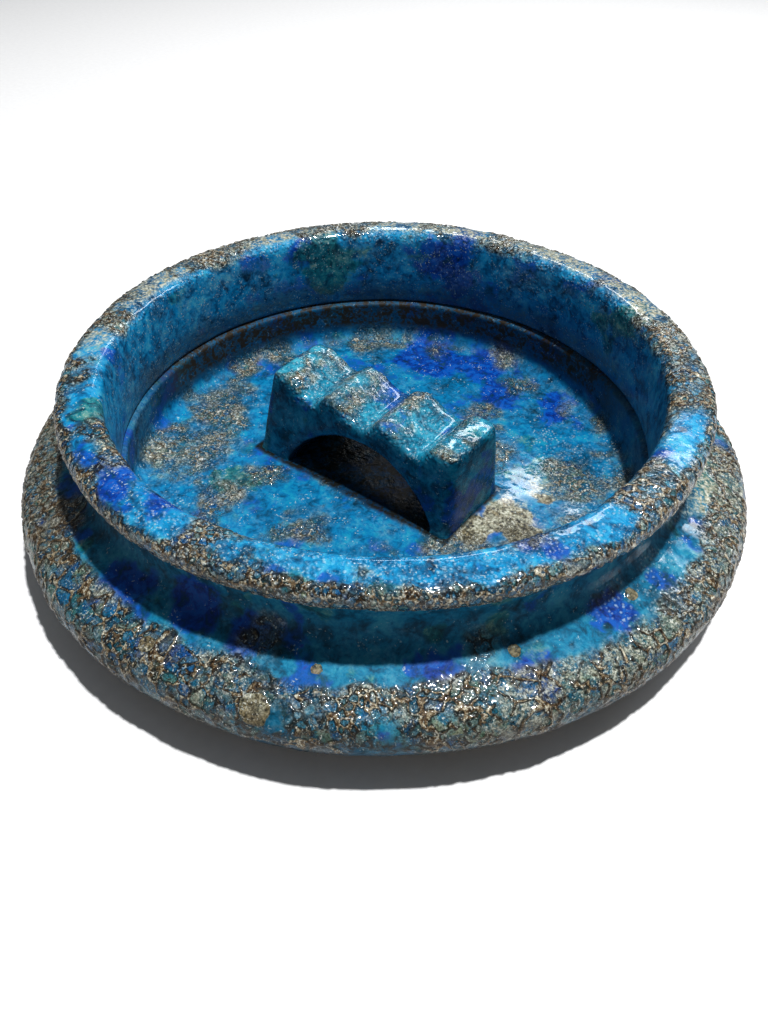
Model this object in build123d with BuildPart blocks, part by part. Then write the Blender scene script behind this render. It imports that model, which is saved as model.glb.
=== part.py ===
"""Round glazed stoneware ashtray: a flanged dish with a rolled rim and a bridge-shaped cigarette rest.

Frame: origin on the dish's axis at the plane of its foot, +Z up, +X along the rest's length.
All sizes are in millimetres. Each clay piece is a node, and so is each area of the glaze coat.
"""
import os
from math import cos, radians, sin, tan

from build123d import *

os.makedirs("parts", exist_ok=True)

# Coats
glaze = 1.2  # thickness of the glaze over the clay
slip = 0.5  # thickness of the luting slip between clay pieces

# Well: flat floor, low wall and the ledge that the rim ring stands on
floor_z = 8.2
well_radius = 77.7
well_cove = 4.0
ledge_z = 22.4
ledge_round = 1.0

# Rim ring: inner skirt, flattened roll on top, nose, and the underside above the waist
skirt_top = (79.4, 46.4)
skirt_lean = 10.0
skirt_radius = 72.0
skirt_sweep = 17.8
lip_radius = 1.2
shoulder_radius = 3.4
crown_radius = 20.0
crown_slopes = (6.0, -15.0)
nose_radius = 3.2
underside_slope = -135.0
underside_length = 4.9

# Waist and flange
waist = (86.6, 34.0)
waist_radius = 8.5
waist_slope = -14.0
flange_radius = 108.0
edge_radius = 7.1
edge_z = 15.7
edge_slope = -20.0

# Underside: hollow below the flange, foot ring and the shallow recess inside it
hollow_mid = (92.5, 11.0)
foot_top = (83.0, 6.0)
foot_outer = 81.0
foot_inner = 64.0
recess_radius = 62.5
recess_z = 2.2
glaze_line = 97.0

# Scarf joint between the dish and the rim ring
scarf_angle = 55.0
scarf_length = 15.0

# Cigarette rest: a tapered block with three grooves on top and an arch below
rest_centre = (0.0, -3.0)
rest_left = -38.0  # X of the left foot's outer edge, from the rest's middle
rest_right = 35.5
left_draft = 9.4
right_draft = 1.5
rest_width = 30.0
side_draft = 6.6
rest_height = 29.6
rest_fall = 2.0  # how much lower the right end of the top is
corner_radius = 2.0
groove_depth = 5.0
groove_pitch = 19.4
groove_count = 3
first_crest = -30.0  # X of the first crest from the rest's middle
valley_share = 0.68  # where the valley lies between two crests
arch_half_span = 27.0
arch_rise = 18.4
arch_shift = 2.0  # how far the arch is right of the rest's middle

overrun = 5.0  # how far sections and cutters run past what they cut
clay_floor_z = floor_z - glaze


def heading(degrees):
    """Unit direction in the section plane, from the outward horizontal."""
    return (cos(radians(degrees)), sin(radians(degrees)))


# ---------------------------------------------------------------- dish sections
with BuildSketch(Plane.XZ) as dish_section:
    with BuildLine():
        floor = Line((-overrun, floor_z), (well_radius - well_cove, floor_z))
        cove = JernArc(floor @ 1, (1, 0), well_cove, 90)
        low_wall = Line(cove @ 1, (well_radius, ledge_z - ledge_round))
        ledge_edge = JernArc(low_wall @ 1, (0, 1), ledge_round, -80)
        skirt = JernArc(skirt_top, heading(270 - skirt_lean), skirt_radius, skirt_sweep)
        lip = JernArc(skirt @ 1, skirt % 1, lip_radius, 90 + skirt_lean - skirt_sweep)
        ledge = Line(ledge_edge @ 1, lip @ 1)
        shoulder = JernArc(
            skirt_top, heading(90 - skirt_lean), shoulder_radius, crown_slopes[0] - 90 + skirt_lean
        )
        crown = JernArc(shoulder @ 1, shoulder % 1, crown_radius, crown_slopes[1] - crown_slopes[0])
        nose = JernArc(crown @ 1, crown % 1, nose_radius, underside_slope - crown_slopes[1])
        underside = PolarLine(nose @ 1, underside_length, direction=nose % 1)
        upper_waist = TangentArc(waist, underside @ 1, tangent=(0, 1))
        lower_waist = JernArc(waist, (0, -1), waist_radius, 90 + waist_slope)
        edge_centre = Vector(flange_radius - edge_radius, edge_z)
        edge_start = edge_centre + Vector(*heading(90 + edge_slope)) * edge_radius
        dome = TangentArc(lower_waist @ 1, edge_start, tangent=lower_waist % 1)
        edge_bottom = edge_centre - Vector(0, edge_radius)
        edge = ThreePointArc(dome @ 1, edge_centre + Vector(edge_radius, 0), edge_bottom)
        hollow = ThreePointArc(edge @ 1, hollow_mid, foot_top)
        Polyline(
            foot_top,
            (foot_outer, 0),
            (foot_inner, 0),
            (recess_radius, recess_z),
            (-overrun, recess_z),
            floor @ 0,
        )
    make_face()

inner_crease = lip @ 1
outer_crease = underside @ 1

with BuildSketch(Plane.XZ) as axis_side:
    with Locations((-overrun, 0)):
        Rectangle(2 * overrun, 20 * overrun)

# The coat is the outermost layer of the section, but not below the glaze line
with BuildSketch(Plane.XZ) as coat_section:
    add(dish_section.sketch)
    offset(dish_section.sketch, amount=-glaze, mode=Mode.SUBTRACT)
    with BuildLine():
        Polyline(
            (-2 * overrun, -overrun),
            (glaze_line, -overrun),
            (glaze_line, waist[1] - 4 * overrun),
            (well_radius + 1.5 * glaze, waist[1] - 4 * overrun),
            (well_radius + 1.5 * glaze, floor_z - 1.25 * glaze),
            (-2 * overrun, floor_z - 1.25 * glaze),
            close=True,
        )
    make_face(mode=Mode.SUBTRACT)
    add(axis_side.sketch, mode=Mode.SUBTRACT)

with BuildSketch(Plane.XZ) as clay_section:
    add(dish_section.sketch)
    add(coat_section.sketch, mode=Mode.SUBTRACT)
    add(axis_side.sketch, mode=Mode.SUBTRACT)

# The joint runs from the inner crease up to the waist, with the slip on its upper side
along = Vector(*heading(scarf_angle))
across = Vector(*heading(scarf_angle + 90))
scarf_low = inner_crease + along * scarf_length
scarf_high = scarf_low + across * slip
with BuildSketch(Plane.XZ) as slip_strip:
    with BuildLine():
        Polyline(inner_crease, scarf_low, scarf_high, inner_crease + across * slip, close=True)
    make_face()

with BuildSketch(Plane.XZ) as above_joint:
    with BuildLine():
        Polyline(
            inner_crease,
            scarf_low,
            (flange_radius, waist[1] + overrun),
            (flange_radius, waist[1] + 5 * overrun),
            (well_radius - 2 * overrun, waist[1] + 5 * overrun),
            (well_radius - 2 * overrun, inner_crease.Y),
            close=True,
        )
    make_face()

with BuildSketch(Plane.XZ) as rim_clay_section:
    add(clay_section.sketch)
    add(above_joint.sketch, mode=Mode.INTERSECT)
    add(slip_strip.sketch, mode=Mode.SUBTRACT)

with BuildSketch(Plane.XZ) as base_clay_section:
    add(clay_section.sketch)
    add(above_joint.sketch, mode=Mode.SUBTRACT)

with BuildSketch(Plane.XZ) as slip_section:
    add(clay_section.sketch)
    add(slip_strip.sketch, mode=Mode.INTERSECT)

# The coat is divided where it breaks, at the inner and outer creases
with BuildSketch(Plane.XZ) as well_side:
    with BuildLine():
        Polyline(
            (0, 0),
            (inner_crease.X + 2 * glaze, 0),
            inner_crease + along * 3 * glaze,
            inner_crease,
            (0, inner_crease.Y),
            close=True,
        )
    make_face()

with BuildSketch(Plane.XZ) as flange_side:
    with Locations((waist[0] - 2 * glaze, outer_crease.Y)):
        Rectangle(flange_radius, 10 * overrun, align=(Align.MIN, Align.MAX))

with BuildSketch(Plane.XZ) as well_coat_section:
    add(coat_section.sketch)
    add(well_side.sketch, mode=Mode.INTERSECT)

with BuildSketch(Plane.XZ) as flange_coat_section:
    add(coat_section.sketch)
    add(flange_side.sketch, mode=Mode.INTERSECT)

with BuildSketch(Plane.XZ) as rim_coat_section:
    add(coat_section.sketch)
    add(well_side.sketch, mode=Mode.SUBTRACT)
    add(flange_side.sketch, mode=Mode.SUBTRACT)


# ---------------------------------------------------------------- cigarette rest
def rest_top_points(lowered):
    """Crests and valleys of the top, left to right, relative to the rest's middle on the floor."""
    points = []
    for step in range(groove_count + 1):
        crest_x = first_crest + step * groove_pitch
        crest_z = floor_z + rest_height - rest_fall * step / groove_count - lowered
        points.append((crest_x, crest_z))
        if step < groove_count:
            points.append((crest_x + valley_share * groove_pitch, crest_z - groove_depth))
    return points


def rest_block(inset):
    """The rest's solid, moved in from its glazed surface by inset on every side."""
    block_height = 1.5 * rest_height
    rise = block_height - (clay_floor_z - floor_z)
    side_lean = rise * tan(radians(side_draft))
    left_lean = rise * tan(radians(left_draft))
    right_lean = rise * tan(radians(right_draft))

    with BuildSketch(Plane.XZ) as side_view:
        with BuildLine():
            Polyline(
                (rest_left + inset, clay_floor_z),
                (rest_right - inset, clay_floor_z),
                (rest_right - inset - right_lean, floor_z + block_height),
                (rest_left + inset + left_lean, floor_z + block_height),
                close=True,
            )
        make_face()

    half_width = rest_width / 2 - inset
    with BuildSketch(Plane.YZ) as end_view:
        with BuildLine():
            Polyline(
                (-half_width, clay_floor_z),
                (half_width, clay_floor_z),
                (half_width - side_lean, floor_z + block_height),
                (side_lean - half_width, floor_z + block_height),
                close=True,
            )
        make_face()

    with BuildSketch(Plane.XZ) as above_top:
        points = rest_top_points(inset)
        with BuildLine():
            wave = Spline(*points, tangents=[(1, 0)] * len(points))
            Polyline(
                wave @ 0,
                (2 * rest_left, (wave @ 0).Y),
                (2 * rest_left, floor_z + 2 * rest_height),
                (2 * rest_right, floor_z + 2 * rest_height),
                (2 * rest_right, (wave @ 1).Y),
                wave @ 1,
            )
        make_face()

    arch_radius = (arch_half_span**2 + arch_rise**2) / (2 * arch_rise)
    with BuildSketch(Plane.XZ) as arch:
        with Locations((arch_shift, floor_z + arch_rise - arch_radius)):
            Circle(arch_radius + inset)

    with BuildPart() as block:
        extrude(side_view.sketch, amount=rest_width, both=True)
        extrude(end_view.sketch, amount=2 * rest_right, both=True, mode=Mode.INTERSECT)
        upright_edges = block.edges().filter_by(lambda edge: abs(edge.tangent_at(0.5).Z) > 0.9)
        fillet(upright_edges, corner_radius)
        extrude(above_top.sketch, amount=rest_width, both=True, mode=Mode.SUBTRACT)
        extrude(arch.sketch, amount=rest_width, both=True, mode=Mode.SUBTRACT)
    return Pos(*rest_centre) * block.part


glazed_rest = rest_block(0)
clay_rest = rest_block(glaze)

# ---------------------------------------------------------------- pieces
with BuildPart() as base_body:
    revolve(base_clay_section.sketch, axis=Axis.Z)

with BuildPart() as rim_body:
    revolve(rim_clay_section.sketch, axis=Axis.Z)

with BuildPart() as rim_slip:
    revolve(slip_section.sketch, axis=Axis.Z)

with BuildPart() as well_glaze:
    revolve(well_coat_section.sketch, axis=Axis.Z)
    add(glazed_rest, mode=Mode.SUBTRACT)

with BuildPart() as rim_glaze:
    revolve(rim_coat_section.sketch, axis=Axis.Z)

with BuildPart() as flange_glaze:
    revolve(flange_coat_section.sketch, axis=Axis.Z)

with BuildPart() as rest_body:
    add(clay_rest)
    split(bisect_by=Plane.XY.offset(clay_floor_z + slip), keep=Keep.TOP)

with BuildPart() as rest_slip:
    add(clay_rest)
    split(bisect_by=Plane.XY.offset(clay_floor_z + slip), keep=Keep.BOTTOM)

with BuildPart() as rest_glaze:
    add(glazed_rest)
    add(clay_rest, mode=Mode.SUBTRACT)

pieces = {
    "base_body": base_body,
    "rim_body": rim_body,
    "rest_body": rest_body,
    "rim_slip": rim_slip,
    "rest_slip": rest_slip,
    "well_glaze": well_glaze,
    "rim_glaze": rim_glaze,
    "flange_glaze": flange_glaze,
    "rest_glaze": rest_glaze,
}
for name, piece in pieces.items():
    piece.part.label = name
    export_step(piece.part, f"parts/{name}.step")
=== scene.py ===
"""A round stoneware ashtray in a thick reactive blue glaze, with a grooved rest in its well.

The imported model's glaze coats are rebuilt here as fine meshes. A turned coat takes its outline from its
own CAD node, and the relief (crackled crust, raised ridges, smooth pools) is worked into its surface.
"""

import math

import bmesh
import bpy
import numpy as np
from mathutils import Matrix, Vector


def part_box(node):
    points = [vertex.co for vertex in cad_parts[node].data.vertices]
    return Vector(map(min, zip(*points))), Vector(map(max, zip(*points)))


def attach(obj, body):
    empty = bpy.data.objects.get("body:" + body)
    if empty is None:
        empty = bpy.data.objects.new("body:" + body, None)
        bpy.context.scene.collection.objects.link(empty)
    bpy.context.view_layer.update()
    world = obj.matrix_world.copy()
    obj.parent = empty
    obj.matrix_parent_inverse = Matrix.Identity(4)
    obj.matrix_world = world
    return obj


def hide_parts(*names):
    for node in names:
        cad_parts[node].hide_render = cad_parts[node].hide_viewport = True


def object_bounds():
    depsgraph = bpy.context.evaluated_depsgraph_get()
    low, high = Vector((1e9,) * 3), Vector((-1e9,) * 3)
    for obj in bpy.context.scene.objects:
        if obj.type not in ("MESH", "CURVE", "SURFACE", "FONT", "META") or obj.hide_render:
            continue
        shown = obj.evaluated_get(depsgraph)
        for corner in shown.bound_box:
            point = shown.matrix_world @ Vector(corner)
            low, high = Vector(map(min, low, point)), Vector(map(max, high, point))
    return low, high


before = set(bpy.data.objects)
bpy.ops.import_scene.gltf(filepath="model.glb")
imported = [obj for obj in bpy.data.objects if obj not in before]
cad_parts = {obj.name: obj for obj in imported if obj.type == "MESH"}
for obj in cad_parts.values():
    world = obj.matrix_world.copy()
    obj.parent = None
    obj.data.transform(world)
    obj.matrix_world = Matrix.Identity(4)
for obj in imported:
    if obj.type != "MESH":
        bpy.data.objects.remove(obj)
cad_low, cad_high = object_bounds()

MM = 0.001
FRONT_AZIMUTH = -53.65  # the direction that the front of the dish faces, in degrees from +X
GLAZE = 1.2 * MM  # the thickness of every coat
OUTLINE_STEP = 0.1 * MM  # how finely a coat's outline is sorted into visible and hidden
HIDDEN_STEP = 3 * MM  # how finely the hidden side of a coat is meshed
AXIS_REACH = 2 * MM  # a coat that starts this near to the axis is closed there
FADE = 1.2 * MM  # how far from a coat's edge its relief is at full height
RIDGE_WIDTHS = (0.60 * MM, 0.48 * MM, 0.38 * MM)  # round the coarse, the middle and the fine cells

# ---------------------------------------------------------------- noise in the row frame


def hashed(ix, iy, iz, seed):
    """Evenly spread 32-bit integers, one for each lattice cell."""
    h = ix.astype(np.uint32) * np.uint32(0x8DA6B343)
    h ^= iy.astype(np.uint32) * np.uint32(0xD8163841)
    h ^= iz.astype(np.uint32) * np.uint32(0xCB1AB31F)
    h ^= np.uint32(seed * 7919 + 17)
    for shift, factor in ((16, 0x7FEB352D), (15, 0x846CA68B)):
        h ^= h >> np.uint32(shift)
        h *= np.uint32(factor)
    return h ^ (h >> np.uint32(16))


def lattice(points, size):
    """The lattice cell of each point and its place within the cell, from 0 to 1."""
    scaled = points / size
    cell = np.floor(scaled)
    return cell.astype(np.int64).astype(np.int32), (scaled - cell).astype(np.float32)


def noise(points, size, seed):
    """Smooth noise from -1 to 1 with features about size across."""
    cell, t = lattice(points, size)
    t = t * t * t * (t * (t * 6 - 15) + 10)
    total = np.zeros(len(points), np.float32)
    for corner in range(8):
        ox, oy, oz = corner & 1, corner >> 1 & 1, corner >> 2 & 1
        h = hashed(cell[:, 0] + ox, cell[:, 1] + oy, cell[:, 2] + oz, seed)
        value = h.astype(np.float32) * np.float32(2.0**-31) - 1
        weight = (
            (t[:, 0] if ox else 1 - t[:, 0])
            * (t[:, 1] if oy else 1 - t[:, 1])
            * (t[:, 2] if oz else 1 - t[:, 2])
        )
        total += weight * value
    return total


def fractal(points, size, seed, octaves=3):
    """Noise with finer noise added, each octave half the size and half the strength."""
    total = np.zeros(len(points), np.float32)
    strength, sum_of = 1.0, 0.0
    for octave in range(octaves):
        total += strength * noise(points, size / 2**octave, seed + 31 * octave)
        sum_of += strength
        strength *= 0.5
    return total / sum_of


def warped(points, reach, size, seed):
    """The points moved by up to reach, each way on its own."""
    shift = np.stack([fractal(points, size, seed + 7 * axis, 2) for axis in range(3)], 1)
    return points + reach * shift


def cells(points, size, seed, jitter=0.9):
    """Each point's distances to the nearest two cell centres, as shares of size, and its cell's number."""
    cell, t = lattice(points, size)
    first = np.full(len(points), 9.0, np.float32)
    second = np.full(len(points), 9.0, np.float32)
    owner = np.zeros(len(points), np.uint32)
    for dx in (-1, 0, 1):
        for dy in (-1, 0, 1):
            for dz in (-1, 0, 1):
                h = hashed(cell[:, 0] + dx, cell[:, 1] + dy, cell[:, 2] + dz, seed)
                gap = np.zeros(len(points), np.float32)
                for axis, offset, shift in ((0, dx, 0), (1, dy, 10), (2, dz, 20)):
                    place = (h >> np.uint32(shift) & np.uint32(1023)).astype(np.float32) / 1023
                    gap += (offset + 0.5 + jitter * (place - 0.5) - t[:, axis]) ** 2
                nearer = gap < first
                second = np.where(nearer, first, np.minimum(second, gap))
                owner = np.where(nearer, h, owner)
                first = np.where(nearer, gap, first)
    number = (owner * np.uint32(2654435761) >> np.uint32(8)).astype(np.float32) / 2**24
    return np.sqrt(first), np.sqrt(second), number


def ease(x, low, high):
    """0 below low, 1 above high and a smooth rise between them."""
    t = np.clip((x - low) / (high - low), 0, 1)
    return t * t * (3 - 2 * t)


# ---------------------------------------------------------------- outlines of the turned CAD nodes


def half_section(node):
    """A turned CAD node cut by the plane x = 0, on its +y side, as segments of (radius, height) points."""
    bm = bmesh.new()
    bm.from_mesh(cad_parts[node].data)
    bmesh.ops.remove_doubles(bm, verts=bm.verts, dist=1e-6)
    everything = bm.verts[:] + bm.edges[:] + bm.faces[:]
    cut = bmesh.ops.bisect_plane(bm, geom=everything, plane_co=(0, 0, 0), plane_no=(1, 0, 0))
    segments = []
    for edge in cut["geom_cut"]:
        if isinstance(edge, bmesh.types.BMEdge):
            a, b = (np.array([v.co.y, v.co.z]) for v in edge.verts)
            if a[0] < b[0]:
                a, b = b, a
            if a[0] <= 0:
                continue
            if b[0] < 0:
                b = a + (b - a) * a[0] / (a[0] - b[0])
            segments.append((a, b))
    bm.free()
    return np.array(segments)


def chained(segments):
    """The segments joined end to end into one outline; an open one starts at its highest end."""
    def key(p):
        return tuple(np.round(p * 1e5).astype(int))

    links, places = {}, {}
    for a, b in segments:
        ka, kb = key(a), key(b)
        if ka != kb:
            links.setdefault(ka, set()).add(kb)
            links.setdefault(kb, set()).add(ka)
            places[ka], places[kb] = a, b
    ends = [k for k in links if len(links[k]) == 1]
    at = max(ends or links, key=lambda k: k[1])
    order, seen = [at], {at}
    while True:
        ahead = [k for k in links[order[-1]] if k not in seen]
        if not ahead:
            break
        order.append(ahead[0])
        seen.add(ahead[0])
    outline = np.array([places[k] for k in order])
    return outline if ends else np.vstack([outline, outline[:1]])


def resampled(line, step):
    """The polyline with points evenly spread along it, at most step apart."""
    along = np.r_[0, np.cumsum(np.linalg.norm(np.diff(line, axis=0), axis=1))]
    at = np.linspace(0, along[-1], max(2, int(math.ceil(along[-1] / step)) + 1))
    return np.stack([np.interp(at, along, line[:, i]) for i in (0, 1)], 1)


def distance_to(points, segments):
    """The distance from each point to the nearest of the segments."""
    a, ab = segments[:, 0], segments[:, 1] - segments[:, 0]
    length = np.maximum((ab**2).sum(1), 1e-16)
    t = np.clip(((points[:, None] - a) * ab).sum(2) / length, 0, 1)
    return np.linalg.norm(points[:, None] - (a + t[..., None] * ab), axis=2).min(1)


CLAY = np.concatenate([half_section(n) for n in ("base_body", "rim_body", "rim_slip")])


def coat_runs(node):
    """A coat's visible and hidden runs. The visible one starts at its end nearer the axis."""
    outline = resampled(chained(half_section(node)), OUTLINE_STEP)
    shown = distance_to(outline, CLAY) > 0.93 * GLAZE
    closed = np.linalg.norm(outline[0] - outline[-1]) < 2 * OUTLINE_STEP
    if closed:
        turn = int(np.argmin(distance_to(outline, CLAY)))
        outline, shown = np.roll(outline[:-1], -turn, 0), np.roll(shown[:-1], -turn)
    first = int(np.argmax(shown))
    last = len(shown) - int(np.argmax(shown[::-1]))
    visible = outline[first:last]
    hidden = outline[last:] if not closed else np.vstack([outline[last:], outline[:first]])
    if visible[0, 0] > visible[-1, 0]:
        visible, hidden = visible[::-1], hidden[::-1]
    return visible, hidden


# ---------------------------------------------------------------- turned coats with worked glaze


def bearings(points):
    """Degrees round the axis from the front, positive towards the right of someone facing the front."""
    azimuth = np.degrees(np.arctan2(points[:, 1], points[:, 0]))
    return (azimuth - FRONT_AZIMUTH + 180) % 360 - 180


class Surface:
    """The points of a coat's worked side, with what the glaze recipe needs to know about each.

    share is how far along the run a point lies, from 0 nearest the axis to 1, and run_length is in metres.
    """

    def __init__(self, points, share, run_length):
        self.points, self.share, self.run_length = points, share, run_length
        self.bearing = bearings(points)
        self.radius = np.hypot(points[:, 0], points[:, 1])
        self.drift = {}

    def near(self, bearing, share, reach):
        """1 at a spot on the coat and 0 beyond reach, with an uneven edge. Reach is in metres."""
        round_way = np.radians((self.bearing - bearing + 180) % 360 - 180) * self.radius
        along_way = (self.share - share) * self.run_length
        if "edge" not in self.drift:
            self.drift["edge"] = fractal(self.points, 8 * MM, 611, 5)
        gap = np.hypot(round_way, along_way) / reach + 0.85 * self.drift["edge"]
        return 1 - ease(gap, 0.45, 1.10)

    def disc(self, bearing, share, radius):
        """1 within a round spot on the coat, falling to 0 at its radius in metres."""
        round_way = np.radians((self.bearing - bearing + 180) % 360 - 180) * self.radius
        along_way = (self.share - share) * self.run_length
        ragged = 1 + 0.25 * fractal(self.points, 2.5 * MM, 60, 3)
        return 1 - ease(np.hypot(round_way, along_way) / (radius * ragged), 0.85, 1.0)

    def sector(self, bearing, width, soft=12.0):
        """1 within width degrees of a bearing, fading over soft more."""
        off = np.abs((self.bearing - bearing + 180) % 360 - 180)
        return 1 - ease(off, width, width + soft)


def form_drift(points):
    """The slow unevenness of a hand-thrown wall, as a shift for each point."""
    return 0.45 * MM * np.stack([fractal(points, 42 * MM, 900 + 13 * axis, 2) for axis in range(3)], 1)


def ridges_between(points, size, seed, width):
    """Thin ridges along the borders of cells about size across, with each cell's dome and number."""
    bent = warped(points, 0.34 * size, 0.8 * size, seed + 400)
    near, after, number = cells(bent, size, seed)
    return 1 - ease((after - near) / np.maximum(width, 0.04), 0.2, 2.4), 1 - near, number


def glaze_relief(surface, crust, sizes, fineness):
    """Height in metres and the first masks: ridges round cells where the crust lies, smooth pools elsewhere.

    sizes are the three cell sizes, coarse to fine, and fineness above 0 favours the fine one.
    """
    points = surface.points
    choice = 1.6 * fractal(points, 12 * MM, 70, 3) + fineness
    shares = (1 - ease(choice, -0.42, -0.22), 1, ease(choice, 0.15, 0.35))
    thin = 1 + 0.5 * fractal(points, 6 * MM, 80, 2)
    ridge = np.zeros(len(points))
    dome = np.zeros(len(points))
    tone = np.zeros(len(points))
    for order, (size, share, width) in enumerate(zip(sizes, shares, RIDGE_WIDTHS)):
        if order == 1:
            share = 1 - np.maximum(shares[0], shares[2])
        made, swell, number = ridges_between(points, size, 5 + order, thin * width / size)
        ridge = np.maximum(ridge, made * ease(share, 0.2, 0.8))
        dome += swell * share
        tone = np.where(share > 0.5, number, tone)
    ridge = ridge * ease(fractal(points, 3.2 * MM, 90, 3), -0.62, -0.05)
    rough = fractal(points, 1.1 * MM, 95, 2)
    height = crust * (0.42 * MM * ridge**2 + 0.26 * MM * (dome - 0.5) + 0.16 * MM * rough)
    height += (1 - crust) * 0.06 * MM * fractal(points, 4 * MM, 97, 2)
    height += 0.14 * MM * fractal(points, 14 * MM, 99, 2)
    return height, {"ridge": ridge * crust, "crust": crust, "tone": tone}


def turned_piece(name, node, recipe, columns, step):
    """A turned coat as a closed fine mesh whose visible side carries the relief and masks of its recipe."""
    visible, hidden = coat_runs(node)
    run = resampled(visible, step)
    back = resampled(hidden, HIDDEN_STEP)[1:-1]
    if np.linalg.norm(back[0] - run[-1]) > np.linalg.norm(back[-1] - run[-1]):
        back = back[::-1]
    tangent = np.gradient(run, axis=0)
    across = np.stack([tangent[:, 1], -tangent[:, 0]], 1)
    across /= np.linalg.norm(across, axis=1)[:, None]
    probe = run + across * 0.5 * MM
    if np.mean(distance_to(probe, CLAY) - distance_to(run, CLAY)) < 0:
        across = -across
    for _ in range(2):
        across[1:-1] = (across[:-2] + 2 * across[1:-1] + across[2:]) / 4
    across /= np.linalg.norm(across, axis=1)[:, None]

    angle = np.arange(columns) * (2 * math.pi / columns)
    ring = np.stack([np.cos(angle), np.sin(angle)], 1)

    def revolved(line):
        """The line's points turned round the axis, one ring after another."""
        flat = line[:, None, :1] * ring[None]
        tall = np.broadcast_to(line[:, None, 1:], flat.shape[:2] + (1,))
        return np.concatenate([flat, tall], 2).reshape(-1, 3)

    points, normals = revolved(run), revolved(across)
    share = np.repeat(np.linspace(0, 1, len(run)), columns)
    run_length = np.linalg.norm(np.diff(run, axis=0), axis=1).sum()
    height, masks = recipe(Surface(points, share, run_length))
    open_ended = run[0, 0] < AXIS_REACH
    to_edge = (1 - share if open_ended else np.minimum(share, 1 - share)) * run_length
    height = height * ease(to_edge, 0, FADE)
    points = points + normals * height[:, None] + form_drift(points)
    behind = revolved(back)
    behind = behind + form_drift(behind)
    rows = len(run) + len(back)
    return mesh_piece(name, np.vstack([points, behind]), rows, columns, masks, node, open_ended)


def mesh_piece(name, points, rows, columns, masks, node, open_ended):
    """The piece for a grid of rows by columns round the axis: closed on itself, or capped if open_ended."""
    bands = rows - 1 if open_ended else rows
    row, column = np.meshgrid(np.arange(bands), np.arange(columns), indexing="ij")
    after, beside = (row + 1) % rows, (column + 1) % columns
    corners = (
        row * columns + column,
        row * columns + beside,
        after * columns + beside,
        after * columns + column,
    )
    quads = np.stack([corner.ravel() for corner in corners], 1)
    mesh = bpy.data.meshes.new(name)
    mesh.vertices.add(len(points))
    mesh.vertices.foreach_set("co", points.astype(np.float32).ravel())
    caps = 2 if open_ended else 0
    loops = quads.size + caps * columns
    mesh.loops.add(loops)
    mesh.polygons.add(len(quads) + caps)
    indices = [quads.ravel()]
    starts = list(np.arange(len(quads)) * 4)
    if open_ended:
        indices += [np.arange(columns)[::-1], (rows - 1) * columns + np.arange(columns)]
        starts += [len(quads) * 4, len(quads) * 4 + columns]
    mesh.loops.foreach_set("vertex_index", np.concatenate(indices).astype(np.int32))
    mesh.polygons.foreach_set("loop_start", np.array(starts, np.int32))
    mesh.update(calc_edges=True)
    mesh.validate()
    face_outwards(mesh)
    mesh.polygons.foreach_set("use_smooth", np.ones(len(mesh.polygons), bool))
    for key, values in masks.items():
        full = np.zeros(len(points), np.float32)
        full[: len(values)] = values
        layer = mesh.attributes.new(key, "FLOAT", "POINT")
        layer.data.foreach_set("value", full)
    if open_ended:
        weld_on_axis(mesh, columns)
    piece = bpy.data.objects.new(name, mesh)
    bpy.context.scene.collection.objects.link(piece)
    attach(piece, "root")
    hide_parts(node)
    return piece


def weld_on_axis(mesh, columns):
    """Joins the first row's points, which lie on the axis, so that no face there has zero area."""
    bm = bmesh.new()
    bm.from_mesh(mesh)
    bm.verts.ensure_lookup_table()
    bmesh.ops.remove_doubles(bm, verts=bm.verts[:columns], dist=0.05 * MM)
    bm.to_mesh(mesh)
    bm.free()


def face_outwards(mesh):
    """Turns every face of a closed mesh to face outwards."""
    bm = bmesh.new()
    bm.from_mesh(mesh)
    if bm.calc_volume(signed=True) < 0:
        bmesh.ops.reverse_faces(bm, faces=bm.faces[:])
        bm.to_mesh(mesh)
    bm.free()


# ---------------------------------------------------------------- glaze recipes


def spots(surface, places):
    """The strongest of several spots, each given as bearing, share of the run and reach in millimetres."""
    total = np.zeros(len(surface.points), np.float32)
    for bearing, share, reach in places:
        total = np.maximum(total, surface.near(bearing, share, reach * MM))
    return total


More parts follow.
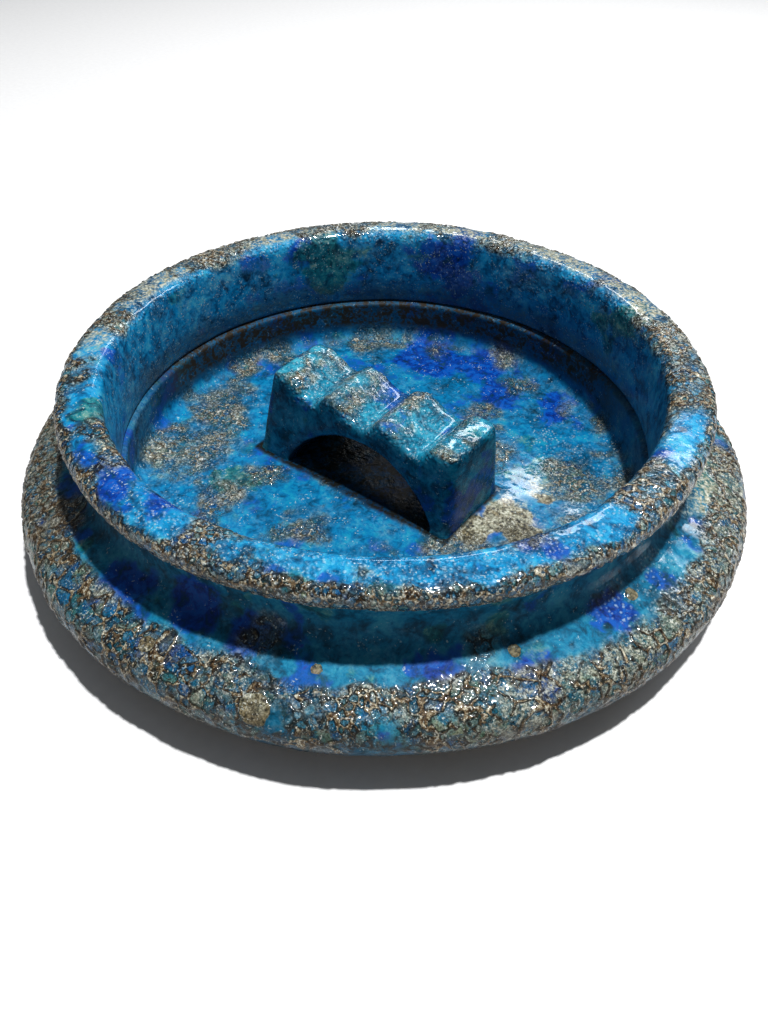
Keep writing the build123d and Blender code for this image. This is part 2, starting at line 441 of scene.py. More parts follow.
def well_recipe(surface):
    """The floor: turquoise pools between islands of pale crust, and a cobalt patch behind the rest."""
    p, s = surface.points, surface.share
    across = surface.run_length / MM

    def floor_spots(places):
        """Spots given as bearing, distance along the run from the axis and reach, both in millimetres."""
        return spots(surface, [(bearing, along / across, reach) for bearing, along, reach in places])

    islands = floor_spots([
        (-137, 74, 8), (-101, 72, 10), (-115, 56, 12), (-73, 56, 10),
        (-36, 37, 10), (-20, 62, 12), (85, 60, 12),
    ])
    pools = floor_spots([
        (-20, 28, 9), (-61, 43, 9), (-61, 28, 7), (-90, 40, 6), (160, 56, 22), (125, 60, 14),
    ])
    field = fractal(p, 13 * MM, 201, 4)
    wall = ease(s, 0.82, 0.90)
    crust = ease(field + 0.30 * islands - 0.35 * pools, -0.18, 0.42) * (1 - 0.8 * wall)
    height, masks = glaze_relief(surface, crust, (4.4 * MM, 2.6 * MM, 1.8 * MM), 0.3)
    masks["cobalt"] = np.maximum(
        ease(fractal(p, 10 * MM, 211, 4), 0.10, 0.40) * 0.7,
        floor_spots([(165, 64, 15), (135, 58, 13), (150, 66, 15), (118, 69, 10), (-10, 50, 6)]),
    )
    masks["green"] = np.maximum(
        ease(fractal(p, 10 * MM, 221, 3), 0.25, 0.55) * 0.7,
        floor_spots([(-82, 46, 8)]),
    )
    masks["chalk_and_sheen"] = np.maximum(
        ease(fractal(p, 7 * MM, 231, 4), -0.25, 0.25) * crust,
        floor_spots([(40, 39, 10), (60, 44, 11), (76, 52, 9)]),
    )
    # Painted shade: the well's wall is darkened.
    masks["shade"] = wall * 0.35
    # A dark brown band on the back of the lower wall, partly the glaze's own brown and partly painted shade.
    masks["umber_and_shade"] = ease(s, 0.86, 0.90) * surface.sector(178, 60, 25)
    masks["satin"] = ease(s, 0.76, 0.80) * 0.9
    masks["disc"] = floor_spots([(42, 40, 7), (58, 44, 9), (50, 51, 8), (72, 52, 6)])
    # glitter: fine bumps, a clear coat and painted pale glints.
    masks["glitter"] = floor_spots([
        (79, 43, 13), (96, 61, 15), (87, 69, 10), (70, 62, 9),
        (-98, 60, 13), (-122, 64, 15), (-76, 60, 12),
    ])
    masks["satin"] = np.maximum(masks["satin"], 0.6 * (1 - crust) * (1 - masks["glitter"]))
    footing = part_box("rest_glaze")
    out_x = np.maximum(np.maximum(footing[0].x - p[:, 0], p[:, 0] - footing[1].x), 0)
    out_y = np.maximum(np.maximum(footing[0].y - p[:, 1], p[:, 1] - footing[1].y), 0)
    gap = np.hypot(out_x, out_y)
    height = height + 0.5 * MM * np.exp(-(gap / (1.1 * MM)) ** 2)
    # Painted shade in dark brown under the rest and along its foot, fading just beyond the footprint.
    below = 1 - ease(gap + 0.8 * MM * fractal(p, 4 * MM, 241, 3), 0.1 * MM, 1.5 * MM)
    masks["umber_and_shade"] = np.maximum(masks["umber_and_shade"], below)
    # Painted shade on the front of the floor.
    front = surface.sector(5, 38, 20) * ease(s, 0.45, 0.68)
    masks["shade"] = np.maximum(masks["shade"], np.maximum(0.8 * below, 0.7 * front))
    return height, masks


def rim_recipe(surface):
    """The rim: a smooth wall inside darkened by painted shade, a bright crown at the front with painted
    glints, crust along the outer lower side.
    """
    p, s = surface.points, surface.share
    field = fractal(p, 12 * MM, 301, 4)
    crown = ease(s, 0.47, 0.55) * (1 - ease(s, 0.93, 0.99))
    zone = (
        -0.40
        + 0.85 * ease(s, 0.71, 0.82)
        + 0.30 * surface.sector(180, 75, 25) * ease(s, 0.50, 0.60)
        + 0.50 * surface.sector(72, 26, 15)
        + 0.24 * surface.sector(-66, 10, 8)
        + 0.15 * surface.sector(-30, 14, 9)
    )
    crust = ease(field + zone, -0.25, 0.30) * crown
    inside = 1 - ease(s, 0.44, 0.52)
    stray = ease(fractal(p, 11 * MM, 303, 3) + 0.35 * surface.sector(180, 70, 30), 0.25, 0.5)
    crust = np.maximum(crust, 0.15 * inside * stray)
    height, masks = glaze_relief(surface, crust, (4.2 * MM, 2.7 * MM, 1.8 * MM), 0.25)
    masks["cobalt"] = np.maximum(
        ease(fractal(p, 11 * MM, 311, 4), 0.20, 0.42) * (0.8 - 0.2 * inside),
        spots(surface, [
            (-49, 0.62, 11), (24, 0.56, 8), (-38, 0.53, 8),
            (165, 0.40, 14), (-160, 0.47, 9), (58, 0.60, 6),
        ]),
    )
    masks["green"] = np.maximum(
        ease(fractal(p, 9 * MM, 321, 3), 0.28, 0.55) * 0.7,
        spots(surface, [
            (-68, 0.62, 11), (-165, 0.34, 15), (110, 0.45, 12), (0, 0.84, 7), (-14, 0.84, 7),
        ]),
    )
    back = surface.sector(180, 75, 25)
    # A pale film on the crust; on the back of the crown a pale film that is partly crust colour and partly
    # painted sheen.
    masks["chalk_and_sheen"] = np.maximum(
        ease(fractal(p, 7 * MM, 331, 4) + 0.3 * back, 0.05, 0.4) * crust,
        1.5 * back * ease(s, 0.55, 0.62) * crown,
    )
    # Painted shade on the inner wall.
    masks["shade"] = 0.20 * inside
    # Dark brown on the lower back of the inner wall, partly the glaze's own brown and partly painted shade.
    masks["umber_and_shade"] = inside * (1 - ease(s, 0.10, 0.26)) * surface.sector(180, 70, 25) * 0.6
    masks["satin"] = 0.3 * inside
    masks["disc"] = np.zeros(len(p))
    # glitter: fine bumps, a clear coat and painted pale glints on the crown.
    masks["glitter"] = crown * np.maximum(0.8 * surface.sector(10, 45, 20), back)
    masks["satin"] = np.maximum(masks["satin"], 0.35 * (1 - crust) * (1 - masks["glitter"]))
    return height, masks


def flange_recipe(surface):
    """The flange: a smooth waist darkened by painted shade, a smooth blue band, then cells and copper ridges
    out to the edge.
    """
    p, s = surface.points, surface.share
    field = fractal(p, 14 * MM, 401, 4)
    left = surface.sector(-79, 17, 12)
    right = surface.sector(42, 12, 10)
    zone = (
        -0.50
        + 0.92 * ease(surface.radius, 93 * MM, 100 * MM)
        + 0.50 * left * ease(surface.radius, 88 * MM, 92 * MM)
        - 0.40 * right * (1 - ease(surface.radius, 99 * MM, 103 * MM))
    )
    under = ease(s, 0.72, 0.80)
    crust = ease(field + zone, -0.28, 0.34) * (1 - 0.5 * under)
    height, masks = glaze_relief(surface, crust, (6.4 * MM, 3.6 * MM, 2.2 * MM), 0.0)
    masks["cobalt"] = np.maximum(
        ease(fractal(p, 11 * MM, 411, 4), 0.16, 0.40) * 0.8,
        spots(surface, [
            (-29, 0.25, 9), (-20, 0.29, 7), (7, 0.38, 7),
            (-42, 0.40, 11), (36, 0.34, 7), (21, 0.52, 7),
        ]),
    )
    masks["green"] = np.maximum(
        ease(fractal(p, 10 * MM, 421, 3), 0.15, 0.5) * 0.8,
        spots(surface, [(76, 0.46, 14), (12, 0.56, 9)]),
    )
    # A pale film on the crust and in one spot on the right; the boost round bearing 50 paints the lamp's
    # sheen on the right of the flange.
    masks["chalk_and_sheen"] = np.maximum(
        ease(fractal(p, 8 * MM, 431, 4) + 0.5 * left + 0.5 * surface.sector(50, 28, 12), 0.0, 0.40) * crust,
        spots(surface, [(77, 0.42, 22)]) * 1.3,
    )
    # Painted shade on the waist under the rim and on the underside.
    masks["shade"] = np.maximum(0.45 * (1 - ease(surface.radius, 90 * MM, 94 * MM)), 0.8 * under)
    # Dark brown on the left crust and on the band towards the edge.
    masks["umber_and_shade"] = np.maximum(0.5 * left * crust, 0.5 * ease(s, 0.58, 0.68))
    masks["satin"] = 0.95 * (1 - crust)
    # glitter: fine bumps, a clear coat and painted pale glints on the right.
    masks["glitter"] = spots(surface, [(47, 0.38, 13), (38, 0.30, 9), (62, 0.40, 13), (78, 0.42, 12)])
    buttons = (
        (-15.6, 0.585, 4.0), (-9.0, 0.365, 1.4), (19.0, 0.33, 1.7), (41.0, 0.33, 1.9), (-33.0, 0.50, 2.2),
    )
    disc = np.zeros(len(p))
    for bearing, share, radius in buttons:
        disc = np.maximum(disc, surface.disc(bearing, share, radius * MM))
    masks["disc"] = disc
    masks["ridge"] = masks["ridge"] * (1 - disc)
    height = height * (1 - disc) + 0.35 * MM * disc
    return height, masks


# ---------------------------------------------------------------- materials


class Graph:
    """A node material built in plain steps. Sizes are in metres in the row frame."""

    def __init__(self, name):
        self.material = bpy.data.materials.new(name)
        self.material.use_nodes = True
        self.nodes = self.material.node_tree.nodes
        self.links = self.material.node_tree.links
        self.nodes.clear()
        self.place = self.nodes.new("ShaderNodeTexCoord").outputs["Object"]

    def feed(self, socket, value):
        """Links an output to the socket, or sets the socket's own value."""
        if isinstance(value, bpy.types.NodeSocket):
            self.links.new(value, socket)
        else:
            socket.default_value = value

    def mask(self, name):
        """A mask stored on the mesh."""
        node = self.nodes.new("ShaderNodeAttribute")
        node.attribute_name = name
        return node.outputs["Fac"]

    def noise(self, size, detail, roughness=0.55, distortion=0.0, offset=0.0, colour=False):
        """Noise from 0 to 1 with features about size across. Each offset gives a pattern of its own."""
        node = self.nodes.new("ShaderNodeTexNoise")
        node.noise_dimensions = "4D"
        self.links.new(self.place, node.inputs["Vector"])
        for key, value in (("W", offset), ("Scale", 1 / size), ("Detail", detail)):
            node.inputs[key].default_value = value
        node.inputs["Roughness"].default_value = roughness
        node.inputs["Distortion"].default_value = distortion
        return node.outputs[1] if colour else node.outputs[0]

    def bent(self, reach, size, offset):
        """The place, moved each way by up to half of reach."""
        spread = self.nodes.new("ShaderNodeVectorMath")
        spread.operation = "MULTIPLY_ADD"
        self.links.new(self.noise(size, 2.0, offset=offset, colour=True), spread.inputs[0])
        spread.inputs[1].default_value = (reach, reach, reach)
        self.links.new(self.place, spread.inputs[2])
        return spread.outputs[0]

    def cells(self, size, at=None, feature="F1"):
        """The distance to the nearest of scattered points, or to the cell edge, and the cell's colour."""
        node = self.nodes.new("ShaderNodeTexVoronoi")
        node.feature = feature
        self.links.new(at or self.place, node.inputs["Vector"])
        node.inputs["Scale"].default_value = 1 / size
        return node.outputs["Distance"], node.outputs.get("Color")

    def math(self, operation, a, b, clamp=False):
        """One sum with two values, kept from 0 to 1 if clamp is set."""
        node = self.nodes.new("ShaderNodeMath")
        node.operation, node.use_clamp = operation, clamp
        self.feed(node.inputs[0], a)
        self.feed(node.inputs[1], b)
        return node.outputs[0]

    def plus(self, a, b):
        return self.math("ADD", a, b)

    def minus(self, a, b):
        return self.math("SUBTRACT", a, b)

    def times(self, a, b):
        return self.math("MULTIPLY", a, b)

    def larger(self, a, b):
        return self.math("MAXIMUM", a, b)

    def swing(self, value, strength):
        """The value's swing about its middle, 0.5, times strength."""
        return self.times(self.minus(value, 0.5), strength)

    def rise(self, value, low, high, bottom=0.0, top=1.0):
        """bottom below low, top above high and a smooth change between them."""
        node = self.nodes.new("ShaderNodeMapRange")
        node.interpolation_type = "SMOOTHSTEP"
        for key, number in (("From Min", low), ("From Max", high), ("To Min", bottom), ("To Max", top)):
            node.inputs[key].default_value = number
        self.feed(node.inputs["Value"], value)
        return node.outputs["Result"]

    def ramp(self, value, stops, constant=False):
        """A colour for each value; stops are (position, colour)."""
        node = self.nodes.new("ShaderNodeValToRGB")
        band = node.color_ramp
        band.interpolation = "CONSTANT" if constant else "LINEAR"
        while len(band.elements) < len(stops):
            band.elements.new(1.0)
        for element, (position, colour) in zip(band.elements, stops):
            element.position, element.color = position, colour
        self.feed(node.inputs["Fac"], value)
        return node.outputs["Color"]

    def mix(self, factor, a, b, blend="MIX"):
        """Colour a turning into colour b."""
        node = self.nodes.new("ShaderNodeMix")
        node.data_type, node.blend_type = "RGBA", blend
        self.feed(node.inputs[0], factor)
        self.feed(node.inputs[6], a)
        self.feed(node.inputs[7], b)
        return node.outputs[2]

    def bump(self, height, depth, strength=1.0, over=None):
        """A normal for relief finer than the mesh; depth is in metres for a height of 1."""
        node = self.nodes.new("ShaderNodeBump")
        node.inputs["Distance"].default_value = depth
        self.feed(node.inputs["Strength"], strength)
        self.links.new(height, node.inputs["Height"])
        if over is not None:
            self.links.new(over, node.inputs["Normal"])
        return node.outputs["Normal"]

    def shader(self, colour, roughness, normal, ior, gloss=0.5):
        """Closes the graph with one Principled shader and returns it."""
        shader = self.nodes.new("ShaderNodeBsdfPrincipled")
        shader.inputs["IOR"].default_value = ior
        self.feed(shader.inputs["Specular IOR Level"], gloss)
        self.feed(shader.inputs["Base Color"], colour)
        self.feed(shader.inputs["Roughness"], roughness)
        self.feed(shader.inputs["Normal"], normal)
        out = self.nodes.new("ShaderNodeOutputMaterial")
        self.links.new(shader.outputs["BSDF"], out.inputs["Surface"])
        return shader


def srgb(code):
    """A linear colour from a hexadecimal sRGB code."""
    channels = [int(code[i : i + 2], 16) / 255 for i in (0, 2, 4)]
    linear = [c / 12.92 if c <= 0.04045 else ((c + 0.055) / 1.055) ** 2.4 for c in channels]
    return (*linear, 1.0)


def pool_colour(g, water_tints, cloud, grain):
    """The smooth glaze: water from deep to pale, cobalt pools, mossy patches and a thin pale haze."""
    drift = g.noise(11 * MM, 4, 0.55)
    blend = g.plus(g.times(cloud, 0.6), g.times(drift, 0.4))
    depths = zip((0.36, 0.44, 0.52, 0.63), water_tints)
    water = g.ramp(g.plus(blend, g.swing(grain, 0.12)), [(at, srgb(tint)) for at, tint in depths])
    ink = g.ramp(
        g.plus(cloud, g.swing(grain, 0.2)),
        [(0.34, srgb("021540")), (0.46, srgb("033490")), (0.58, srgb("0562b8")), (0.80, srgb("3f4496"))],
    )
    stain = g.plus(g.times(g.mask("cobalt"), 0.9), g.swing(cloud, 1.9))
    cobalt = g.rise(g.plus(stain, g.swing(grain, 0.5)), 0.20, 0.95)
    ground = g.mix(cobalt, water, ink)
    moss = g.ramp(cloud, [(0.38, srgb("0a3f40")), (0.52, srgb("1d7a70")), (0.66, srgb("8fa883"))])
    green = g.rise(g.plus(g.mask("green"), g.swing(grain, 0.9)), 0.40, 0.95)
    ground = g.mix(g.times(green, 0.75), ground, moss)
    haze = g.minus(1.0, g.times(cobalt, 0.8))
    haze = g.times(haze, g.rise(grain, 0.36, 0.66))
    haze = g.times(haze, g.rise(g.noise(5 * MM, 4, 0.6, 0.4, 37.0), 0.44, 0.66))
    return g.mix(g.times(haze, 0.22), ground, srgb("86b4c6"))


def cell_colour(g, ground, lot, crust, cloud, grain):
    """The ground with each cell of the crust in a tint of its own, then tan buttons and a chalky film, which
    in places is painted sheen.
    """
    tints = [
        (0.00, srgb("2c6078")), (0.16, srgb("19566c")), (0.30, srgb("5f7c7c")), (0.42, srgb("456c54")),
        (0.54, srgb("888a62")), (0.64, srgb("1a6a94")), (0.78, srgb("243f74")), (0.88, srgb("68695a")),
    ]
    coarse = g.ramp(g.mask("tone"), tints, constant=True)
    tinted = g.mix(0.35, coarse, g.ramp(lot, tints, constant=True))
    inner = g.mix(0.25, tinted, ground)
    body = g.mix(g.times(crust, g.rise(cloud, 0.26, 0.56, 0.65, 1.0)), ground, inner)
    disc = g.ramp(grain, [(0.36, srgb("3a3322")), (0.48, srgb("766a4a")), (0.62, srgb("a09270"))])
    body = g.mix(g.rise(g.mask("disc"), 0.3, 0.7, 0.0, 0.9), body, disc)
    # The chalky film: partly the glaze's own film and partly painted sheen.
    film = g.ramp(grain, [(0.34, srgb("5f6152")), (0.50, srgb("9c9d8a")), (0.66, srgb("d6d7c8"))])
    filmed = g.rise(g.plus(cloud, g.times(grain, 0.7)), 0.70, 0.98)
    return g.mix(g.times(g.times(g.mask("chalk_and_sheen"), filmed), 0.85), body, film)


def sprinkled(g, body, crust, specks):
    """The body colour with pale specks all over, and brown pits and painted cream glints on the crust."""
    sown = g.noise(4 * MM, 3, 0.6, 0.0, 29.0)
    seed = g.noise(0.55 * MM, 1, 0.5, 0.0, 53.0)
    where = g.rise(sown, 0.58 - 0.14 * specks, 0.66 - 0.14 * specks)
    body = g.mix(g.times(g.times(g.rise(seed, 0.60, 0.68), where), 0.65), body, srgb("c3cfcc"))
    pit = g.times(g.rise(g.noise(0.8 * MM, 2, 0.5, 0.0, 67.0), 0.60, 0.70), g.rise(crust, 0.3, 0.9))
    body = g.mix(g.times(pit, 0.7), body, srgb("14120e"))
    # Painted glints: cream specks on the crust.
    painted_cream_glints = g.times(g.rise(g.noise(0.62 * MM, 1, 0.5, 0.0, 71.0), 0.61, 0.69), g.rise(crust, 0.3, 0.9))
    return g.mix(g.times(painted_cream_glints, 0.6), body, srgb("e2e4da"))


def glaze_material(name, water_tints, ridge_tints, specks, lace_size, outline):
    """Reactive glaze: blue pools, coloured cells, tan and cream ridges, brown pits, pale specks, painted
    glints and painted shade.

    water_tints run from the deepest to the palest pool, ridge_tints from the darkest to the palest ridge.
    specks, from 0 to 1, is how widely the pale ones are sown, and lace_size is the finest cells' size.
    outline is how strongly the grooves beside the ridges are darkened with painted shade, from 0 to 1.
    """
    g = Graph(name)
    crust, ridge = g.mask("crust"), g.mask("ridge")
    shade, satin, glitter = g.mask("shade"), g.mask("satin"), g.mask("glitter")
    cloud = g.noise(3.4 * MM, 5, 0.62, 0.8, 3.0)
    grain = g.noise(0.9 * MM, 3, 0.6, 0.0, 7.0)
    dust = g.noise(0.38 * MM, 2, 0.5, 0.0, 11.0)

    bent = g.bent(1.6 * MM, 1.5 * MM, 41.0)
    edge, _ = g.cells(lace_size, bent, "DISTANCE_TO_EDGE")
    _, lot = g.cells(lace_size, bent)
    open_lace = g.rise(g.noise(3.5 * MM, 3, 0.6, 0.0, 43.0), 0.52, 0.68)
    lace = g.times(g.rise(edge, 0.09, 0.02), open_lace)
    lace = g.times(lace, g.rise(crust, 0.15, 0.7))
    line = g.larger(g.rise(g.plus(ridge, g.swing(grain, 0.4)), 0.70, 0.90), g.times(lace, 0.6))
    moat = g.times(g.times(g.rise(edge, 0.24, 0.10), open_lace), g.rise(crust, 0.2, 0.8))
    moat = g.larger(moat, g.rise(ridge, 0.10, 0.50))

    ground = pool_colour(g, water_tints, cloud, grain)
    body = cell_colour(g, ground, lot, crust, cloud, grain)
    # Painted shade: the grooves beside the ridges are darkened to near black.
    groove_shade = g.times(moat, g.rise(cloud, 0.36, 0.56, 0.4 * outline, outline))
    body = g.mix(groove_shade, body, srgb("191713"))
    earth = g.plus(g.noise(1.7 * MM, 4, 0.6, 0.0, 17.0), g.swing(dust, 0.35))
    heights = zip((0.38, 0.46, 0.54, 0.64), ridge_tints)
    body = g.mix(line, body, g.ramp(earth, [(at, srgb(tint)) for at, tint in heights]))
    body = sprinkled(g, body, crust, specks)
    bead, _ = g.cells(1.3 * MM, g.bent(0.9 * MM, 1.4 * MM, 61.0))
    # Painted glints: pale blue specks on the beads where the glitter mask lies.
    painted_bead_glints = g.times(g.times(glitter, g.rise(bead, 0.40, 0.18)), g.rise(cloud, 0.40, 0.60))
    body = g.mix(g.times(painted_bead_glints, 0.55), body, srgb("c4d6de"))
    fine = g.noise(0.45 * MM, 2, 0.6, 0.0, 59.0)
    grit = g.ramp(fine, [(0.36, srgb("8c8c8c")), (0.60, (1.25, 1.25, 1.25, 1))])
    body = g.mix(g.rise(crust, 0.0, 0.7, 0.10, 0.85), body, grit, "MULTIPLY")
    # Dark brown: partly the glaze's own brown, partly painted shade under the rest, in the arch and on the
    # back walls.
    umber_and_shade = g.times(g.mask("umber_and_shade"), g.rise(g.plus(cloud, g.swing(grain, 0.5)), 0.36, 0.58))
    body = g.mix(umber_and_shade, body, srgb("43382c"))
    # Painted shade: the shade mask darkens the colour towards deep teal.
    body = g.mix(shade, body, srgb("2a6a80"), "MULTIPLY")

    normal = g.bump(g.noise(2.2 * MM, 3, 0.5, 0.0, 31.0), 0.16 * MM, 0.6)
    relief = g.plus(g.times(grain, 0.6), g.times(dust, 0.4))
    normal = g.bump(relief, 0.32 * MM, g.rise(crust, 0.0, 0.8, 0.14, 1.0), normal)
    normal = g.bump(g.rise(bead, 0.0, 0.7, 1.0, 0.0), 0.38 * MM, glitter, normal)
    normal = g.bump(g.minus(lace, g.times(moat, 0.4)), 0.16 * MM, 1.0, normal)
    shine = g.plus(g.rise(crust, 0.0, 0.9, 0.24, 0.26), g.times(line, 0.08))
    shine = g.plus(shine, g.times(g.rise(dust, 0.45, 0.70), 0.14))
    shine = g.plus(shine, g.times(satin, 0.3))
    wet = g.math("SUBTRACT", 1.0, g.larger(g.times(shade, 1.3), satin), clamp=True)
    shader = g.shader(body, shine, normal, 1.52, 0.16)
    shader.inputs["Coat Roughness"].default_value = 0.06
    g.feed(shader.inputs["Coat Weight"], g.larger(g.rise(wet, 0.1, 1.0, 0.0, 0.40), glitter))
    return g.material


def clay_material(name, pale, dark, grit_tint):
    """Unglazed fired clay: cloudy, grainy and dry all over, with specks of grog."""
    g = Graph(name)
    cloud = g.noise(9 * MM, 5, 0.6)
    grain = g.noise(0.7 * MM, 4, 0.6, 0.0, 5.0)
    tint = g.ramp(g.plus(g.times(cloud, 0.7), g.times(grain, 0.3)), [(0.38, dark), (0.62, pale)])
    near, _ = g.cells(1.3 * MM)
    grit = g.times(g.rise(near, 0.24, 0.14), g.rise(g.noise(4 * MM, 2, 0.5, 0.0, 9.0), 0.48, 0.58))
    tint = g.mix(g.times(grit, 0.8), tint, grit_tint)
    normal = g.bump(grain, 0.15 * MM, 0.9)
    normal = g.bump(cloud, 0.5 * MM, 0.4, normal)
    g.shader(tint, g.rise(grain, 0.3, 0.7, 0.72, 0.94), normal, 1.45)
    return g.material


# ---------------------------------------------------------------- the rest


def applied(piece):
    """The piece's mesh with its modifiers applied, which becomes its mesh."""
    fine = bpy.data.meshes.new_from_object(piece.evaluated_get(bpy.context.evaluated_depsgraph_get()))
    piece.modifiers.clear()
    piece.data = fine
    return fine


def rest_recipe(surface, normals, low, high):
    """The rest: crust on the crests, smooth grooves and sides, painted shade on the sides, and painted shade
    in dark brown under the arch.
    """
    p = surface.points
    topside = ease(normals[:, 2], 0.35, 0.75) * ease(p[:, 2], low.z + 12 * MM, low.z + 17 * MM)
    crest = ease(p[:, 2], high.z - 5.2 * MM, high.z - 3.0 * MM)
    field = fractal(p, 8 * MM, 501, 4)
    crust = topside * crest * ease(field, -0.25, 0.35)
    height, masks = glaze_relief(surface, crust, (3.4 * MM, 2.3 * MM, 1.6 * MM), 0.2)
    masks["cobalt"] = ease(fractal(p, 9 * MM, 511, 4), -0.02, 0.30) * 0.8
    one_end = ease(low.x + 10 * MM - p[:, 0], 0, 9 * MM)
    masks["green"] = ease(fractal(p, 9 * MM, 521, 3) + 0.5 * one_end, 0.3, 0.6) * 0.7
    masks["chalk_and_sheen"] = ease(fractal(p, 6 * MM, 531, 4), -0.2, 0.3) * crust
    middle, half = (low.x + high.x) / 2, (high.x - low.x) / 2
    # Painted shade in dark brown on the faces inside the arch, and painted shade on every face that doesn't
    # face up.
    facing_in = ease(np.maximum(np.abs(normals[:, 0]), -normals[:, 2]), 0.3, 0.6)
    within = ease(half - np.abs(p[:, 0] - middle), 2.5 * MM, 4.5 * MM) * (1 - topside)
    arch = facing_in * within * (1 - ease(p[:, 2], low.z + 13 * MM, low.z + 15 * MM))
    masks["shade"] = np.maximum(0.42 * (1 - topside), 0.9 * arch)
    masks["umber_and_shade"] = 0.8 * arch
    masks["satin"] = np.zeros(len(p))
    masks["disc"] = np.zeros(len(p))
    # glitter: fine bumps, a clear coat and painted pale glints on the upper faces.
    upper = ease(p[:, 2], high.z - 8.5 * MM, high.z - 5.0 * MM)
    masks["glitter"] = ease(normals[:, 2], 0.10, 0.45) * upper
    return height, masks


def rest_piece():
    """The rest's coat as a fine mesh with its edges softened above the foot."""
    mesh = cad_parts["rest_glaze"].data.copy()
    mesh.name = "rest_coat"
    mesh.materials.clear()
    piece = bpy.data.objects.new("rest_coat", mesh)
    bpy.context.scene.collection.objects.link(piece)
    weld = piece.modifiers.new("weld", "WELD")
    weld.merge_threshold = 1e-6
    remesh = piece.modifiers.new("remesh", "REMESH")
    remesh.mode, remesh.voxel_size = "VOXEL", 0.42 * MM
    low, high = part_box("rest_glaze")
    applied(piece)
    above = [v.index for v in piece.data.vertices if v.co.z > low.z + 1.5 * MM]
    piece.vertex_groups.new(name="above_foot").add(above, 1.0, "REPLACE")
    smooth = piece.modifiers.new("smooth", "SMOOTH")
    smooth.factor, smooth.iterations, smooth.vertex_group = 0.5, 190, "above_foot"
    fine = applied(piece)
    count = len(fine.vertices)
    points = np.zeros(count * 3, np.float32)
    normals = np.zeros(count * 3, np.float32)
    fine.vertices.foreach_get("co", points)
    fine.vertices.foreach_get("normal", normals)
    points, normals = points.reshape(-1, 3).astype(float), normals.reshape(-1, 3)
    height, masks = rest_recipe(Surface(points, np.zeros(count), 1.0), normals, low, high)
    points = points + normals * height[:, None] + form_drift(points)
    fine.vertices.foreach_set("co", points.astype(np.float32).ravel())
    fine.polygons.foreach_set("use_smooth", np.ones(len(fine.polygons), bool))
    for key, values in masks.items():
        layer = fine.attributes.new(key, "FLOAT", "POINT")
        layer.data.foreach_set("value", values.astype(np.float32))
    fine.update()
    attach(piece, "root")
    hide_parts("rest_glaze")
    return piece


# ---------------------------------------------------------------- studio

FLOOR_GAP = 0.2 * MM  # keeps the floor clear of the foot's face
CAMERA_LENS, CAMERA_SENSOR = 29.95, 36  # in millimetres
CAMERA_ELEVATION = 42.71  # degrees above the floor
CAMERA_AWAY = 286.2 * MM  # from the point aimed at
CAMERA_AIM = -12.2 * MM  # that point's height on the axis
CAMERA_ROLL = 0.010  # radians


def direction(bearing, elevation):
    """The unit vector towards a bearing from the front and an elevation, both in degrees."""
    azimuth, rise = math.radians(bearing + FRONT_AZIMUTH), math.radians(elevation)
    return Vector((math.cos(azimuth) * math.cos(rise), math.sin(azimuth) * math.cos(rise), math.sin(rise)))


def area_light(name, bearing, elevation, away, size, power, tall=None):
    """A soft lamp that faces the dish from away metres: a disc, or a rectangle if it has its own tallness."""
    centre = (cad_low + cad_high) / 2
    lamp = bpy.data.lights.new(name, "AREA")
    lamp.energy, lamp.size, lamp.shape = power, size, "DISK"
    if tall:
        lamp.shape, lamp.size_y = "RECTANGLE", tall
    holder = bpy.data.objects.new(name, lamp)
    holder.location = centre + away * direction(bearing, elevation)
    holder.rotation_mode = "QUATERNION"
    holder.rotation_quaternion = (centre - holder.location).to_track_quat("-Z", "Y")
    bpy.context.scene.collection.objects.link(holder)


def studio():
    """A pale floor, a small lamp overhead, one wide soft window behind on the right and an even glow."""
    ground = bpy.data.meshes.new("floor")
    half = 3.0
    corners = [(-half, -half, 0), (half, -half, 0), (half, half, 0), (-half, half, 0)]
    ground.from_pydata(corners, [], [(0, 1, 2, 3)])
    floor = bpy.data.objects.new("floor", ground)
    floor.location.z = cad_low.z - FLOOR_GAP
    bpy.context.scene.collection.objects.link(floor)
    g = Graph("floor_paper")
    fibre = g.noise(3 * MM, 4)
    tint = g.ramp(fibre, [(0.3, srgb("f0f0f0")), (0.7, srgb("f5f5f5"))])
    g.shader(tint, g.rise(fibre, 0.3, 0.7, 0.75, 0.9), g.bump(fibre, 0.05 * MM, 0.3), 1.4)
    ground.materials.append(g.material)
    area_light("overhead", bearing=70, elevation=80, away=1.2, size=0.06, power=16.5)
    area_light("window", bearing=145, elevation=39, away=0.9, size=1.05, power=2.6, tall=0.09)
    world = bpy.data.worlds.new("studio")
    world.use_nodes = True
    sky = world.node_tree.nodes["Background"]
    sky.inputs["Color"].default_value = (0.93, 0.96, 1.0, 1)
    sky.inputs["Strength"].default_value = 0.20
    bpy.context.scene.world = world


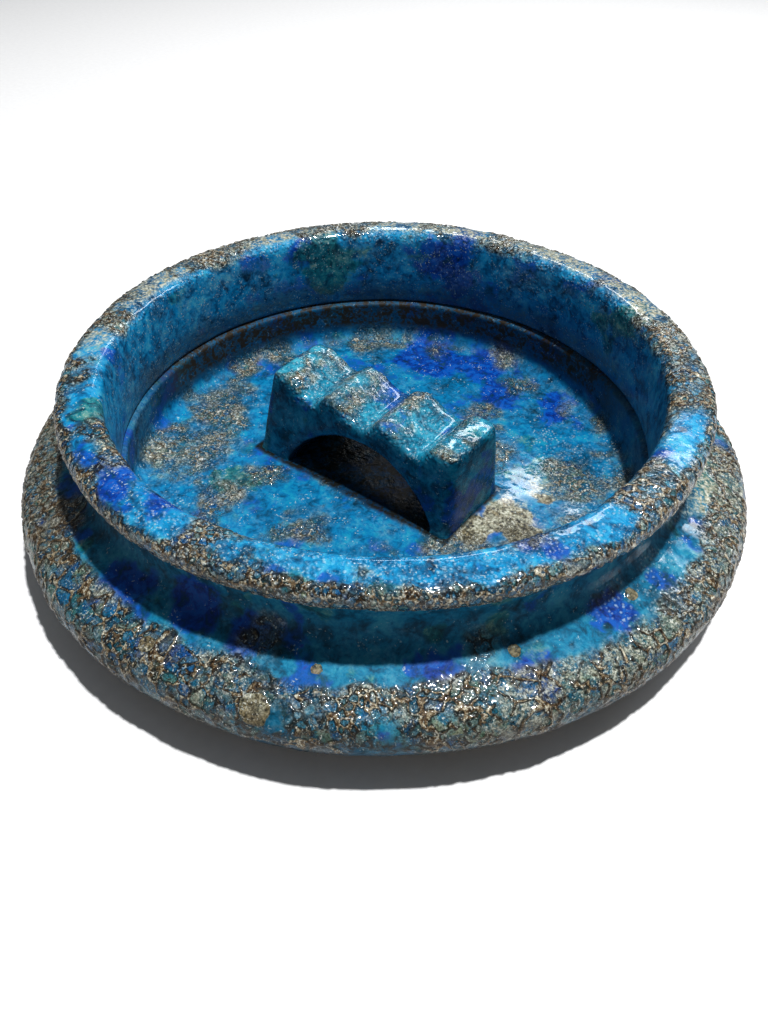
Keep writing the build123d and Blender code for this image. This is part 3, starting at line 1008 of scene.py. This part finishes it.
def camera():
    """Looks down on the dish from the front at about 43 degrees."""
    data = bpy.data.cameras.new("camera")
    data.sensor_width, data.lens = CAMERA_SENSOR, CAMERA_LENS
    view = bpy.data.objects.new("camera", data)
    away = direction(0, CAMERA_ELEVATION)
    view.location = Vector((0, 0, CAMERA_AIM)) + CAMERA_AWAY * away
    view.rotation_mode = "QUATERNION"
    level = (-away).to_track_quat("-Z", "Y")
    view.rotation_quaternion = level @ Matrix.Rotation(CAMERA_ROLL, 4, "Z").to_quaternion()
    data.clip_start, data.clip_end = 0.01, 20
    bpy.context.scene.collection.objects.link(view)
    bpy.context.scene.camera = view


def carried_over():
    """Materials for the CAD nodes that stay: the clay bodies and the slip in their joints."""
    clay = clay_material("stoneware", srgb("b79f7e"), srgb("8d7455"), srgb("4b3a2b"))
    slip = clay_material("joint_slip", srgb("a58f73"), srgb("87715a"), srgb("54463a"))
    made = {"base_body": clay, "rim_body": clay, "rest_body": clay, "rim_slip": slip, "rest_slip": slip}
    for node, material in made.items():
        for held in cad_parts[node].material_slots:
            held.material = material


# ---------------------------------------------------------------- the whole dish

WELL_WATER = ("043c54", "05628a", "087eae", "1e9cba")
RIM_WATER = ("04304c", "056490", "0a92c4", "50bcd8")
FLANGE_WATER = ("033a4a", "055c7a", "0c80a4", "40a0b8")
REST_WATER = ("043c50", "065c78", "0c8aa8", "50b8cc")
COPPER_RIDGES = ("241c14", "5e4930", "8e7f64", "cfcbb8")
GREY_RIDGES = ("3a372f", "6b6353", "9c9888", "dce0da")

well = turned_piece("well_coat", "well_glaze", well_recipe, 1200, 0.40 * MM)
rim = turned_piece("rim_coat", "rim_glaze", rim_recipe, 1600, 0.34 * MM)
flange = turned_piece("flange_coat", "flange_glaze", flange_recipe, 1900, 0.34 * MM)
rest = rest_piece()
for piece, finish in (
    (well, glaze_material("well_reactive", WELL_WATER, GREY_RIDGES, 0.5, 1.4 * MM, 0.45)),
    (rim, glaze_material("rim_reactive", RIM_WATER, COPPER_RIDGES, 0.9, 1.1 * MM, 0.9)),
    (flange, glaze_material("flange_reactive", FLANGE_WATER, COPPER_RIDGES, 0.3, 2.0 * MM, 0.9)),
    (rest, glaze_material("rest_reactive", REST_WATER, GREY_RIDGES, 0.6, 1.2 * MM, 0.3)),
):
    piece.data.materials.append(finish)
carried_over()
studio()
camera()
bpy.context.scene.view_settings.view_transform = "Standard"
bpy.context.scene.view_settings.gamma = 0.86
